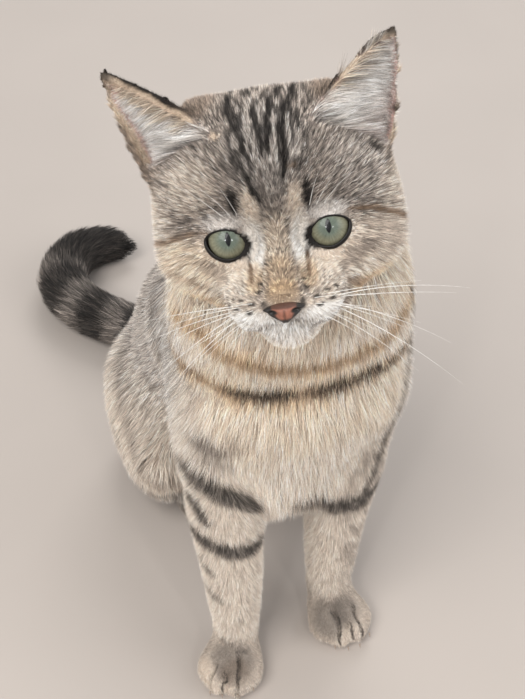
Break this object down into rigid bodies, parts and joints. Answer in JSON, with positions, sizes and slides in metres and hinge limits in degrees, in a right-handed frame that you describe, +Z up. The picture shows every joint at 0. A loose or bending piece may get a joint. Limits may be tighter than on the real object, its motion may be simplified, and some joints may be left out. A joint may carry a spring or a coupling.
{
  "type": "sitting domestic cat",
  "caption": "Life-size still model of a sitting shorthaired tabby cat, head lifted, forelegs straight and tail curled behind on the floor.",
  "frame": {"origin": "Middle of the cat's box, at the floor it sits on.", "axes": "+Z is up and -Y is the way the body faces. The cat's right side is -X. The tail lies behind, at +Y."},
  "size_m": [0.1684, 0.4722, 0.3971],
  "materials": {
    "coat": "short soft fur, warm grey ticked with brown, cream below, striped in near-black",
    "nose_leather": "bare brick-pink nose leather, finely pebbled and slightly moist",
    "eye": "wet clear cornea over a pale grey-green iris with a slit pupil"
  },
  "bodies": {
    "root": {"head": "coat", "muzzle": "coat", "lower_jaw": "coat", "nose": "nose_leather", "eye_right": "eye", "eye_left": "eye", "ear_right": "coat", "ear_left": "coat", "neck": "coat", "forepaw_right": "coat", "forearm_right": "coat", "upper_arm_right": "coat", "forepaw_left": "coat", "forearm_left": "coat", "upper_arm_left": "coat", "hind_foot_right": "coat", "shank_right": "coat", "thigh_right": "coat", "hind_foot_left": "coat", "shank_left": "coat", "thigh_left": "coat", "chest": "coat", "loins": "coat", "rump": "coat", "tail_root": "coat", "tail_second": "coat", "tail_third": "coat", "tail_tip": "coat"}
  },
  "joints": []
}
